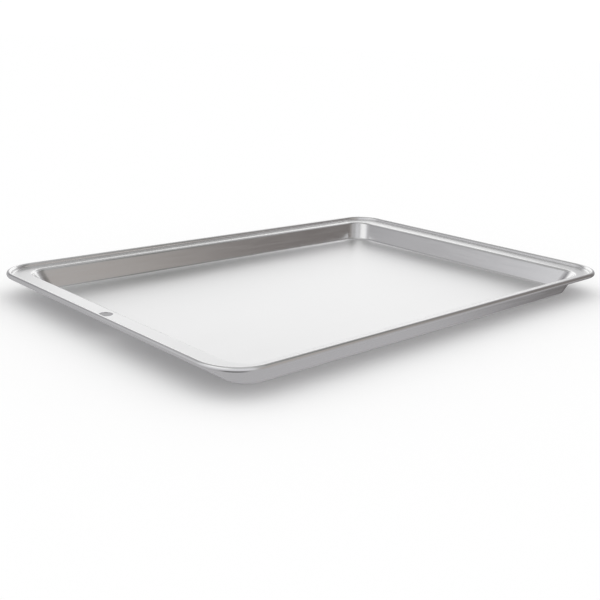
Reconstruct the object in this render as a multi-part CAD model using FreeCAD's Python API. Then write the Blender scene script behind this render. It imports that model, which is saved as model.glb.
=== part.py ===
import FreeCAD, Part
import math
import os

V = FreeCAD.Vector
UP = V(0, 0, 1)

# Overall sizes of the pan, in millimetres
LENGTH = 413.0                # along X, over the rolled rim
WIDTH = 283.0                 # along Y, over the rolled rim
HEIGHT = 20.0                 # from the table to the crest of the rim
CORNER_RADIUS = 28.5          # outer edge of the rim, in plan

# Drawn sheet
SHEET = 0.6                   # thickness of the steel
DRAFT = 22.0                  # lean of the walls from upright, in degrees
FLOOR_BEND = 3.4              # inside radius between floor and wall
LIP_BEND = 3.0                # top radius between wall and flange
WELL_CORNER_RADIUS = 17.5     # inside of the leaning corners, square to their lean
END_FLANGE = 17.5             # short ends, from the rim's outer edge to the lip
SIDE_FLANGE = 10.5            # long sides, from the rim's outer edge to the lip

# Rolled rim and its wire
WIRE = 2.7                    # diameter of the rim wire
WIRE_CLEARANCE = 0.05         # between the wire and the sheet rolled over it
WIRE_END_GAP = 0.8            # between the two ends of the wire
RIM_STEP = 1.1                # radius where the flange turns up into the rim
CURL_GAP = 0.3                # between the curl's end and the sheet that it closes on

# Hang hole in the flange of the short end at -X
HOLE = 9.5                    # diameter
HOLE_FROM_EDGE = 11.0         # hole centre to the rim's outer edge

# Places that follow from these sizes
ROLL = WIRE / 2 + WIRE_CLEARANCE + SHEET
ROLL_HEIGHT = HEIGHT - ROLL
RIM_WIDTH = RIM_STEP + 2 * ROLL
FLANGE_TOP = ROLL_HEIGHT - RIM_STEP
FLANGE_BOTTOM = FLANGE_TOP - SHEET
RIM_X = LENGTH / 2 - RIM_WIDTH
RIM_Y = WIDTH / 2 - RIM_WIDTH
RIM_CORNER_RADIUS = CORNER_RADIUS - RIM_WIDTH
LIP_X = LENGTH / 2 - END_FLANGE
LIP_Y = WIDTH / 2 - SIDE_FLANGE
LEAN = math.radians(DRAFT)
LIP_TO_TABLE = LIP_BEND * math.tan((math.pi / 2 - LEAN) / 2) + FLANGE_TOP * math.tan(LEAN)
WELL_X = LIP_X - LIP_TO_TABLE     # inner faces of the walls, carried down to the table
WELL_Y = LIP_Y - LIP_TO_TABLE
SAME_HEIGHT = 0.001           # two heights closer than this are one level


def arc(centre, radius, start, end):
    """Arc in the section plane, X outwards and Z up, between two angles in degrees."""
    def point(angle):
        turn = math.radians(angle)
        return V(centre.x + radius * math.cos(turn), 0, centre.z + radius * math.sin(turn))

    return Part.Arc(point(start), point((start + end) / 2), point(end)).toShape()


def joined(edges):
    """The edges in order, with a straight edge wherever one doesn't start where the last one ends."""
    chain = []
    for edge, following in zip(edges, edges[1:] + edges[:1]):
        end = edge.valueAt(edge.LastParameter)
        start = following.valueAt(following.FirstParameter)
        chain.append(edge)
        if end.distanceToPoint(start) > Part.Precision.confusion():
            chain.append(Part.makeLine(end, start))
    return chain


def bent_sheet(bends):
    """Section of a bent sheet. A bend is its centre, the radii of its upper and lower side, and its angles."""
    upper = [arc(centre, top, start, end) for centre, top, _, start, end in bends]
    lower = [arc(centre, under, end, start) for centre, _, under, start, end in reversed(bends)]
    return Part.Face(Part.Wire(joined(upper + lower)))


def ring(section, half_x, half_y, corner):
    """The section carried once round a rectangle with round corners, its X always pointing outwards."""
    lengths = []
    for side in range(4):
        out, along = (half_x, half_y) if side % 2 == 0 else (half_y, half_x)
        straight = along - corner
        first = section.translated(V(out, -straight, 0))
        last = section.translated(V(out, straight, 0))
        run = first.extrude(V(0, 2 * straight, 0))
        bend = last.revolve(V(out - corner, straight, 0), UP, 90)
        for length in (run, bend):
            lengths.append(length.rotated(V(0, 0, 0), UP, 90 * side))
    return lengths


def plate(half_x, half_y, corner, bottom):
    """Flat sheet with round corners, centred on the pan."""
    block = Part.makeBox(2 * half_x, 2 * half_y, SHEET, V(-half_x, -half_y, bottom))
    upright = [e for e in block.Edges if abs(e.tangentAt(e.FirstParameter).dot(UP)) > 0.5]
    return block.makeFillet(corner, upright)


def fused(lengths):
    """One solid from pieces that meet face to face."""
    return lengths[0].multiFuse(lengths[1:]).removeSplitter().Solids[0]


def level_edges(shape, height):
    """Edges of the well that lie level at this height, without those of the flange's outer edge."""
    level = [e for e in shape.Edges if all(abs(v.Z - height) < SAME_HEIGHT for v in e.Vertexes)]
    return [e for e in level if abs(e.CenterOfMass.x) < LIP_X and abs(e.CenterOfMass.y) < LIP_Y]


def well_block(skin, bottom, top):
    """The well as a solid, with a skin of this thickness over it and its corners and foot rounded."""
    def half_sizes(height):
        out = skin / math.cos(LEAN) + height * math.tan(LEAN)
        return WELL_X + out, WELL_Y + out

    low_x, low_y = half_sizes(bottom)
    high_x, high_y = half_sizes(top)
    wedge = Part.makeWedge(-low_x, bottom, -low_y, -high_y, -high_x, low_x, top, low_y, high_y, high_x)
    block = wedge.rotated(V(0, 0, 0), V(1, 0, 0), 90)
    leaning = [e for e in block.Edges if e.BoundBox.ZLength > SAME_HEIGHT]
    block = block.makeFillet(WELL_CORNER_RADIUS + skin, leaning)
    return block.makeFillet(FLOOR_BEND + skin, level_edges(block, bottom))


def rim_section():
    """Rolled edge, which turns up from the flange at X 0 and closes round the wire."""
    to_roll = RIM_STEP + ROLL
    to_end = RIM_STEP + SHEET + CURL_GAP
    closing = (to_end**2 - to_roll**2 - ROLL**2) / (2 * to_roll * ROLL)
    curl_end = -math.degrees(math.acos(closing))
    step = (V(0, 0, ROLL_HEIGHT), RIM_STEP, RIM_STEP + SHEET, -90, 0)
    over = (V(to_roll, 0, ROLL_HEIGHT), ROLL, ROLL - SHEET, 180, 0)
    under = (V(to_roll, 0, ROLL_HEIGHT), ROLL, ROLL - SHEET, 0, curl_end)
    return bent_sheet([step, over, under])


def pan_body():
    """The drawn sheet: floor, walls, flange and rolled rim in one piece of steel."""
    border = plate(RIM_X, RIM_Y, RIM_CORNER_RADIUS, FLANGE_BOTTOM)
    drawn = border.fuse(well_block(SHEET, 0, FLANGE_TOP)).removeSplitter()
    drawn = drawn.makeFillet(LIP_BEND - SHEET, level_edges(drawn, FLANGE_BOTTOM))
    drawn = drawn.cut(well_block(0, SHEET, HEIGHT))
    drawn = drawn.makeFillet(LIP_BEND, level_edges(drawn, FLANGE_TOP))
    hole = Part.makeCylinder(HOLE / 2, SHEET, V(HOLE_FROM_EDGE - LENGTH / 2, 0, FLANGE_BOTTOM))
    rim = ring(rim_section(), RIM_X, RIM_Y, RIM_CORNER_RADIUS)
    return fused([drawn.cut(hole), *rim])


def rim_wire():
    """Wire inside the rolled rim, with its two ends facing each other at the middle of the +X end."""
    round_section = Part.Face(Part.Wire(Part.makeCircle(WIRE / 2, V(0, 0, ROLL_HEIGHT), V(0, 1, 0))))
    loop = fused(ring(round_section, LENGTH / 2 - ROLL, WIDTH / 2 - ROLL, CORNER_RADIUS - ROLL))
    corner = V(LENGTH / 2 - 2 * ROLL, -WIRE_END_GAP / 2, ROLL_HEIGHT - ROLL)
    return loop.cut(Part.makeBox(2 * ROLL, WIRE_END_GAP, 2 * ROLL, corner)).Solids[0]


os.makedirs("parts", exist_ok=True)
for node in (pan_body, rim_wire):
    shape = node()
    shape.exportStep(f"parts/{node.__name__}.step")
    print(node.__name__, "valid", shape.isValid(), "volume", round(shape.Volume, 1), shape.BoundBox)
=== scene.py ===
import bmesh
import bpy
import math
from mathutils import Matrix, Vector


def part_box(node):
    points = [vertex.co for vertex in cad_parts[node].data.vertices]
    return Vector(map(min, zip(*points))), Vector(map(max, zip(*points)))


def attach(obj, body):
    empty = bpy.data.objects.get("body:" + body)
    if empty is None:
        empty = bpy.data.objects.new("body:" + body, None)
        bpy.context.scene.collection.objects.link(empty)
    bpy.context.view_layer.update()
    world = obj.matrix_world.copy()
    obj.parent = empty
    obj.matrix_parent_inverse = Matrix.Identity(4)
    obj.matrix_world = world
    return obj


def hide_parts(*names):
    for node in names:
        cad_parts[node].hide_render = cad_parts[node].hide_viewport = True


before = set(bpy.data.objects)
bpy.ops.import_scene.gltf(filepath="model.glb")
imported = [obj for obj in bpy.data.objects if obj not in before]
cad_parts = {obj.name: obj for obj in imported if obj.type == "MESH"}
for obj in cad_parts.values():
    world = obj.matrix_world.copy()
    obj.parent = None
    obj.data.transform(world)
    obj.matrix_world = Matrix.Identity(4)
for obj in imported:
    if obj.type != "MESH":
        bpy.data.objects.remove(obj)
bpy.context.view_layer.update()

# Sizes of the pan, in metres
MM = 0.001
_, PAN_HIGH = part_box("pan_body")
HALF_LENGTH = PAN_HIGH.x
HALF_WIDTH = PAN_HIGH.y
HEIGHT = PAN_HIGH.z
CORNER_RADIUS = 28.5 * MM             # outer edge of the rim, in plan
SHEET = 0.6 * MM
DRAFT = math.radians(22)              # lean of the walls from upright
FLOOR_BEND = 3.4 * MM                 # inside radius between floor and wall
LIP_BEND = 3 * MM                     # top radius between wall and flange
WELL_CORNER_RADIUS = 16 * MM          # walls, in plan
END_FLANGE = 17.5 * MM                # short ends, from the rim's outer edge to the lip
SIDE_FLANGE = 10.5 * MM               # long sides, from the rim's outer edge to the lip
ROLL = 2 * MM                         # outside radius of the rolled rim
RIM_STEP = 1.1 * MM                   # radius where the flange turns up into the rim
CURL_GAP = 0.3 * MM                   # between the curl's end and the sheet that it closes on
HOLE_RADIUS = 4.75 * MM
HOLE_FROM_EDGE = 11 * MM              # hole centre to the rim's outer edge

# Places that follow from them
ROLL_HEIGHT = HEIGHT - ROLL
FLANGE_TOP = ROLL_HEIGHT - RIM_STEP
RIM_WIDTH = RIM_STEP + 2 * ROLL
TURN = math.pi / 2 - DRAFT
WALL_RUN = (FLANGE_TOP - SHEET) * math.tan(DRAFT) + (FLOOR_BEND + LIP_BEND) * math.tan(TURN / 2)
LIP_X = HALF_LENGTH - END_FLANGE
LIP_Y = HALF_WIDTH - SIDE_FLANGE
FLOOR_X = LIP_X - WALL_RUN
FLOOR_Y = LIP_Y - WALL_RUN
FOOT_OUT = FLOOR_BEND * math.cos(DRAFT)
FOOT_TOP = SHEET + FLOOR_BEND * (1 - math.sin(DRAFT))
LIP_OUT = LIP_BEND * math.cos(DRAFT)
LIP_FOOT = FLANGE_TOP - LIP_BEND * (1 - math.sin(DRAFT))
RIM_X = HALF_LENGTH - RIM_WIDTH
RIM_Y = HALF_WIDTH - RIM_WIDTH

# How finely the round stretches are divided
CORNER_STEPS = 28
BEND_STEPS = 10
RIM_STEP_STEPS = 8
CURL_STEPS = 36
HOLE_STEPS = 64
CUT_EDGE_STEPS = 2

# Joining the strips, punching the hole and easing the cut edges
MERGE = 0.002 * MM                    # points closer than this are one
PUNCH_LENGTH = 6 * MM
CUT_EDGE_EASE = 0.1 * MM
CUT_EDGE_ANGLE = math.radians(60)     # edges sharper than this are cut edges
LARGE_FACE_WEIGHT = 100               # the shading follows the large faces

# Camera, as the photograph's edges place it, and the floor
FRAME_PIXELS = 600
FOCAL_PIXELS = 897
SENSOR = 36                           # width in millimetres
CAMERA_PLACE = (-0.4961, -0.4933, 0.1968)
CAMERA_TURN = math.radians(-44.107)
CAMERA_TILT_DOWN = math.radians(16.236)
CAMERA_ROLL = math.radians(2.635)
FLOOR_SIZE = 40
FLOOR_DROP = 0.2 * MM
FLOOR_WHITE = (0.98, 0.98, 0.98, 1)

# Studio: a card's bearing from +X, half width, soft sides, foot, top and soft ends in degrees, and its tone
WORLD_WHITE = (1.02, 1.02, 1.02, 1)
TENT_RADIUS = 0.8
TENT_TOP_STARTS = math.radians(35)
TENT_TOP_FULL = math.radians(55)
TENT_GREY = (0.453, 0.447, 0.459, 1)
TENT_TOP = (0.4, 0.4, 0.4, 1)
CARDS = (
    (0, 190, 5, 74, 100, 7, (0.62, 0.62, 0.62, 1)),           # grey, overhead
    (49, 35, 9, 3, 38, 6, (1.07, 1.07, 1.07, 1)),             # white, behind the pan
    (206, 64, 13, 8, 60, 9, (0.69, 0.69, 0.71, 1)),           # pale, round the camera
    (181, 31, 13, 36, 64, 8, (0.96, 0.96, 0.96, 1)),          # white, high on the camera's left
    (107, 9, 7, 10, 48, 8, (0.25, 0.25, 0.26, 1)),            # dark strip at the far left
    (300, 30, 10, -6, 36, 8, (0.415, 0.388, 0.37, 1)),        # warm grey, on the right
    (333, 20, 16, -6, 34, 6, (0.193, 0.178, 0.173, 1)),       # dark, on the right towards the back
    (326, 18, 8, 34, 62, 8, (0.18, 0.18, 0.17, 1)),           # dark, high above it
    (355, 20, 7, -30, -6, 12, (0.13, 0.122, 0.12, 1)),        # dark, low on the right: painted shade, the floor darker to the right as the steel reflects it
    (225, 22, 10, -38, -9, 5, (0.12, 0.12, 0.12, 1)),         # dark, low at the camera: painted shade, the pan's shadow on the floor as the steel reflects it
)

# Steel: its tones, and its roughness by how the sheet was worked
STEEL_LIGHT = (0.925, 0.925, 0.925, 1)
STEEL_DARK = (0.87, 0.87, 0.87, 1)
TONE_SHARE = 0.5                      # of the grain in the tone, the clouds have the rest
ROLLED_ROUGHNESS = 0.32
FLANGE_ROUGHNESS = 0.34
DRAWN_ROUGHNESS = 0.2
GRAIN_ROUGHNESS = 0.09
CLOUD_ROUGHNESS = 0.04
WORN_ROUGHNESS = 0.03

# Marks in the steel: how many per metre along each axis, how they mix, and their depth
ROLLING_GRAIN = (25, 1600, 25)
ROLLING_STREAKS = (3, 140, 3)
GRAIN_SHARE = 0.6                     # of the fine grain, the streaks have the rest
DRAW_LINES = (30, 30, 500)
DRAW_CONTRAST = (0.35, 0.65)          # levels of the marks that become 0 and 1
CLOUDS = (16, 16, 16)
FINE_DETAIL = 3
SOFT_DETAIL = 2
MARKS_MIDDLE = 0.5                    # the marks run from 0 to 1
GRAIN_DEPTH = 0.01 * MM

# Heights over which one finish fades into the next
DRAWN_FADE = 1.8 * MM
FLANGE_FADE_BELOW = 0.15 * MM
FLANGE_FADE_ABOVE = 0.2 * MM
WORN_CREST = 0.8 * MM

# Wire inside the rim
WIRE_LIGHT = (0.6, 0.59, 0.58, 1)
WIRE_DARK = (0.42, 0.41, 0.4, 1)
WIRE_ROUGHNESS = 0.32
WIRE_DULL_ROUGHNESS = 0.15
WIRE_MARKS = (400, 400, 400)
WIRE_DETAIL = 4

# Numbers of the Mix node's sockets for a colour
MIX_FACTOR = 0
MIX_FIRST = 6
MIX_SECOND = 7
MIX_COLOUR = 2


def select_only(piece):
    """Everything else deselected, so that the next operators act on this piece alone."""
    bpy.ops.object.select_all(action="DESELECT")
    piece.select_set(True)
    bpy.context.view_layer.objects.active = piece


def pick(piece, wanted):
    """Selects the vertices whose place passes the test, and the edges and faces between them."""
    bpy.ops.mesh.select_all(action="DESELECT")
    mesh = bmesh.from_edit_mesh(piece.data)
    for vertex in mesh.verts:
        if wanted(vertex.co):
            vertex.select = True
    mesh.select_flush(True)
    bmesh.update_edit_mesh(piece.data)


def apply_modifier(piece, kind, **settings):
    """Adds a modifier with these settings and applies it."""
    select_only(piece)
    modifier = piece.modifiers.new(kind.title(), kind)
    for name, value in settings.items():
        setattr(modifier, name, value)
    bpy.ops.object.modifier_apply(modifier=modifier.name)


def bend(centre, radius, start, end, steps):
    """Points of an arc in a section, from one angle to another: outwards first, height second."""
    angles = [start + (end - start) * step / steps for step in range(steps + 1)]
    return [(centre[0] + radius * math.cos(a), centre[1] + radius * math.sin(a)) for a in angles]


def foot_section():
    """Upper side of the bend from the flat floor into the wall."""
    return bend((0, SHEET + FLOOR_BEND), FLOOR_BEND, -math.pi / 2, -DRAFT, BEND_STEPS)


def lip_section():
    """Upper side of the bend from the wall over into the flange."""
    return bend((LIP_OUT, FLANGE_TOP - LIP_BEND), LIP_BEND, math.pi - DRAFT, math.pi / 2, BEND_STEPS)


def rim_section():
    """Outer side of the rolled rim, from the edge of the flange to the end of the curl."""
    to_roll = RIM_STEP + ROLL
    to_end = RIM_STEP + SHEET + CURL_GAP
    curl_end = -math.acos((to_end**2 - to_roll**2 - ROLL**2) / (2 * to_roll * ROLL))
    step = bend((0, ROLL_HEIGHT), RIM_STEP, -math.pi / 2, 0, RIM_STEP_STEPS)
    curl = bend((to_roll, ROLL_HEIGHT), ROLL, math.pi, curl_end, CURL_STEPS)
    return step + curl[1:]


def quarter_strip(name, section, half_x, half_y, corner):
    """A section spun round one corner and drawn out to the middle of both sides next to it."""
    bpy.ops.object.select_all(action="DESELECT")
    bpy.ops.mesh.primitive_plane_add(size=corner)
    strip = bpy.context.object
    strip.name = strip.data.name = name
    axis_x, axis_y = half_x - corner, half_y - corner
    bpy.ops.object.mode_set(mode="EDIT")
    bpy.ops.mesh.merge(type="CENTER")
    bpy.ops.transform.translate(value=(half_x + section[0][0], axis_y, section[0][1]))
    for (out, height), (next_out, next_height) in zip(section, section[1:]):
        move = {"value": (next_out - out, 0, next_height - height)}
        bpy.ops.mesh.extrude_vertices_move(TRANSFORM_OT_translate=move)
    bpy.ops.mesh.select_all(action="SELECT")
    bpy.ops.mesh.spin(
        steps=CORNER_STEPS, angle=-math.pi / 2, center=(axis_x, axis_y, 0), axis=(0, 0, 1),
        use_auto_merge=False,
    )
    for on_edge, draw in (
        (lambda co: abs(co.y - axis_y) < MERGE and co.x > axis_x, (0, -axis_y, 0)),
        (lambda co: abs(co.x - axis_x) < MERGE and co.y > axis_y, (-axis_x, 0, 0)),
    ):
        pick(strip, on_edge)
        bpy.ops.mesh.extrude_edges_move(TRANSFORM_OT_translate={"value": draw})
    bpy.ops.object.mode_set(mode="OBJECT")
    return strip


def drawn_sheet():
    """Upper side of the whole pan, from the floor to the end of the curl, before it has a thickness."""
    foot = quarter_strip("foot", foot_section(), FLOOR_X, FLOOR_Y, WELL_CORNER_RADIUS - FOOT_OUT)
    lip = quarter_strip("lip", lip_section(), LIP_X - LIP_OUT, LIP_Y - LIP_OUT, WELL_CORNER_RADIUS)
    sheet = quarter_strip("pan", rim_section(), RIM_X, RIM_Y, CORNER_RADIUS - RIM_WIDTH)
    select_only(sheet)
    foot.select_set(True)
    lip.select_set(True)
    bpy.ops.object.join()
    # The walls between foot and lip, then the flange between lip and rim
    bpy.ops.object.mode_set(mode="EDIT")
    pick(sheet, lambda co: abs(co.z - FOOT_TOP) < MERGE or abs(co.z - LIP_FOOT) < MERGE)
    bpy.ops.mesh.bridge_edge_loops()
    pick(sheet, lambda co: abs(co.z - FLANGE_TOP) < MERGE and co.x < RIM_X + MERGE and co.y < RIM_Y + MERGE)
    bpy.ops.mesh.bridge_edge_loops()
    bpy.ops.object.mode_set(mode="OBJECT")
    # The other three quarters, then the flat floor
    apply_modifier(sheet, "MIRROR", use_axis=(True, True, False), use_clip=True, merge_threshold=MERGE)
    bpy.ops.object.mode_set(mode="EDIT")
    pick(sheet, lambda co: abs(co.z - SHEET) < MERGE)
    bpy.ops.mesh.edge_face_add()
    bpy.ops.mesh.select_all(action="SELECT")
    bpy.ops.mesh.remove_doubles(threshold=MERGE)
    bpy.ops.mesh.normals_make_consistent(inside=False)
    bpy.ops.object.mode_set(mode="OBJECT")
    floor = max(sheet.data.polygons, key=lambda face: face.area)
    if floor.normal.z < 0:
        sheet.data.flip_normals()
    return sheet


def hang_hole_punch():
    """Round punch that stands through the flange at the hang hole."""
    bpy.ops.object.select_all(action="DESELECT")
    bpy.ops.mesh.primitive_cylinder_add(
        vertices=HOLE_STEPS, radius=HOLE_RADIUS, depth=PUNCH_LENGTH,
        location=(HOLE_FROM_EDGE - HALF_LENGTH, 0, FLANGE_TOP),
    )
    return bpy.context.object


def pan_body():
    """The drawn sheet with its thickness, its hang hole and its eased cut edges."""
    pan = drawn_sheet()
    apply_modifier(pan, "SOLIDIFY", thickness=SHEET, offset=-1, use_even_offset=True)
    punch = hang_hole_punch()
    apply_modifier(pan, "BOOLEAN", object=punch, operation="DIFFERENCE", solver="EXACT")
    bpy.data.objects.remove(punch)
    apply_modifier(
        pan, "BEVEL", width=CUT_EDGE_EASE, segments=CUT_EDGE_STEPS,
        limit_method="ANGLE", angle_limit=CUT_EDGE_ANGLE,
    )
    bpy.ops.object.shade_smooth()
    apply_modifier(pan, "WEIGHTED_NORMAL", mode="FACE_AREA", weight=LARGE_FACE_WEIGHT, keep_sharp=False)
    return pan


class Value:
    """An output of a shader node. Arithmetic on it adds Math nodes, and node() adds any other node."""

    def __init__(self, tree, socket=None):
        self.tree = tree
        self.socket = socket

    def node(self, kind, inputs, settings=None, output=0):
        """Adds a node of this kind: its settings first, then a value or a link for each named socket."""
        added = self.tree.nodes.new("ShaderNode" + kind)
        for name, setting in (settings or {}).items():
            setattr(added, name, setting)
        for name, value in inputs.items():
            if isinstance(value, Value):
                self.tree.links.new(value.socket, added.inputs[name])
            else:
                added.inputs[name].default_value = value
        return Value(self.tree, added.outputs[output] if added.outputs else None)

    def maths(self, operation, *terms):
        """Adds a Math node on these terms."""
        return self.node("Math", dict(enumerate(terms)), {"operation": operation})

    def __add__(self, other):
        return self.maths("ADD", self, other)

    def __radd__(self, other):
        return self.maths("ADD", other, self)

    def __sub__(self, other):
        return self.maths("SUBTRACT", self, other)

    def __rsub__(self, other):
        return self.maths("SUBTRACT", other, self)

    def __mul__(self, other):
        return self.maths("MULTIPLY", self, other)

    def __rmul__(self, other):
        return self.maths("MULTIPLY", other, self)


def new_material(name):
    """An empty material and the start of its node tree."""
    material = bpy.data.materials.new(name)
    material.use_nodes = True
    material.node_tree.nodes.clear()
    return material, Value(material.node_tree)


def mixed(mask, first, second):
    """Colour that goes from the first to the second as the mask goes from 0 to 1."""
    sockets = {MIX_FACTOR: mask, MIX_FIRST: first, MIX_SECOND: second}
    return mask.node("Mix", sockets, {"data_type": "RGBA"}, output=MIX_COLOUR)


def faded(value, start, end):
    """0 before the start, 1 after the end, and smooth between them."""
    sockets = {"Value": value, "From Min": start, "From Max": end}
    return value.node("MapRange", sockets, {"interpolation_type": "SMOOTHSTEP"})


def marks(place, size, detail):
    """Noise between 0 and 1 on the place, with so many marks per metre along each axis."""
    spread = place.node("VectorMath", {0: place, 1: size}, {"operation": "MULTIPLY"})
    return place.node("TexNoise", {"Vector": spread, "Scale": 1, "Detail": detail})


def satin_steel():
    """Steel sheet with its rolling grain, burnished and lined where it was drawn into walls and rim."""
    material, start = new_material("satin_steel")
    place = start.node("TexCoord", {}, output="Object")
    height = place.node("SeparateXYZ", {0: place}, output="Z")
    drawn = faded(height, SHEET, SHEET + DRAWN_FADE)
    flange = faded(height, FLANGE_TOP - FLANGE_FADE_BELOW, FLANGE_TOP)
    flange = flange * (1 - faded(height, FLANGE_TOP, FLANGE_TOP + FLANGE_FADE_ABOVE))
    lined = drawn - flange
    worn = faded(height, HEIGHT - WORN_CREST, HEIGHT)
    grain = GRAIN_SHARE * marks(place, ROLLING_GRAIN, FINE_DETAIL)
    grain = grain + (1 - GRAIN_SHARE) * marks(place, ROLLING_STREAKS, SOFT_DETAIL)
    lines = faded(marks(place, DRAW_LINES, FINE_DETAIL), *DRAW_CONTRAST)
    grain = grain + lined * (lines - grain)
    clouds = marks(place, CLOUDS, SOFT_DETAIL)
    roughness = ROLLED_ROUGHNESS + (DRAWN_ROUGHNESS - ROLLED_ROUGHNESS) * drawn
    roughness = roughness + (FLANGE_ROUGHNESS - DRAWN_ROUGHNESS) * flange
    roughness = roughness + GRAIN_ROUGHNESS * (grain - MARKS_MIDDLE)
    roughness = roughness + CLOUD_ROUGHNESS * (clouds - MARKS_MIDDLE)
    sockets = {
        "Base Color": mixed(TONE_SHARE * grain + (1 - TONE_SHARE) * clouds, STEEL_DARK, STEEL_LIGHT),
        "Metallic": 1,
        "Roughness": roughness - WORN_ROUGHNESS * worn,
        "Normal": grain.node("Bump", {"Strength": 1, "Distance": GRAIN_DEPTH, "Height": grain}),
    }
    start.node("OutputMaterial", {"Surface": start.node("BsdfPrincipled", sockets)})
    return material


def drawn_wire():
    """Plain drawn wire, a little dull, inside the rolled rim."""
    material, start = new_material("drawn_wire")
    place = start.node("TexCoord", {}, output="Object")
    dull = marks(place, WIRE_MARKS, WIRE_DETAIL)
    sockets = {
        "Base Color": mixed(dull, WIRE_LIGHT, WIRE_DARK),
        "Metallic": 1,
        "Roughness": WIRE_ROUGHNESS + WIRE_DULL_ROUGHNESS * dull,
        "Normal": dull.node("Bump", {"Strength": 1, "Distance": GRAIN_DEPTH, "Height": dull}),
    }
    start.node("OutputMaterial", {"Surface": start.node("BsdfPrincipled", sockets)})
    return material


def white_floor():
    """A plain pale floor, just under the pan."""
    bpy.ops.object.select_all(action="DESELECT")
    bpy.ops.mesh.primitive_plane_add(size=FLOOR_SIZE, location=(0, 0, -FLOOR_DROP))
    floor = bpy.context.object
    floor.name = "floor"
    material, start = new_material("floor_white")
    white = start.node("BsdfDiffuse", {"Color": FLOOR_WHITE})
    start.node("OutputMaterial", {"Surface": white})
    floor.data.materials.append(material)
    floor.visible_glossy = False


def photo_camera():
    """Camera at the photograph's place, with its tilt and its lens."""
    bpy.ops.object.select_all(action="DESELECT")
    bpy.ops.object.camera_add()
    camera = bpy.context.object
    turn = Matrix.Rotation(CAMERA_TURN, 4, "Z")
    tilt = Matrix.Rotation(math.pi / 2 - CAMERA_TILT_DOWN, 4, "X")
    roll = Matrix.Rotation(CAMERA_ROLL, 4, "Z")
    camera.matrix_world = Matrix.Translation(CAMERA_PLACE) @ turn @ tilt @ roll
    camera.data.sensor_width = SENSOR
    camera.data.lens = SENSOR * FOCAL_PIXELS / FRAME_PIXELS
    bpy.context.scene.camera = camera


def white_world():
    """White all round, at about the level where a colour renders as it is written."""
    world = bpy.data.worlds.new("white")
    world.use_nodes = True
    world.node_tree.nodes["Background"].inputs["Color"].default_value = WORLD_WHITE
    bpy.context.scene.world = world


def studio_tent():
    """Round tent of grey cloth with soft cards on it, which only the reflections in the steel show."""
    bpy.ops.object.select_all(action="DESELECT")
    bpy.ops.mesh.primitive_uv_sphere_add(radius=TENT_RADIUS)
    tent = bpy.context.object
    tent.name = "studio_tent"
    material, start = new_material("tent_cloth")
    place = start.node("TexCoord", {}, output="Object")
    x, y, z = (place.node("SeparateXYZ", {0: place}, output=axis) for axis in "XYZ")
    bearing = y.maths("ARCTAN2", y, x)
    rise = z.maths("ARCSINE", z * (1 / TENT_RADIUS))
    cloth = mixed(faded(rise, TENT_TOP_STARTS, TENT_TOP_FULL), TENT_GREY, TENT_TOP)
    for *places, tone in CARDS:
        middle, half_width, sides, foot, top, ends = map(math.radians, places)
        aside = bearing.maths("ABSOLUTE", bearing.maths("WRAP", bearing - middle, math.pi, -math.pi))
        across = 1 - faded(aside, half_width - sides, half_width + sides)
        upright = faded(rise, foot - ends, foot + ends) * (1 - faded(rise, top - ends, top + ends))
        cloth = mixed(across * upright, cloth, tone)
    start.node("OutputMaterial", {"Surface": start.node("Emission", {"Color": cloth})})
    tent.data.materials.append(material)
    tent.visible_camera = False
    tent.visible_diffuse = False
    tent.visible_shadow = False


pan = pan_body()
pan.data.materials.append(satin_steel())
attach(pan, "root")
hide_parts("pan_body")
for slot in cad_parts["rim_wire"].material_slots:
    slot.material = drawn_wire()
white_floor()
photo_camera()
white_world()
studio_tent()
bpy.context.scene.view_settings.view_transform = "Standard"
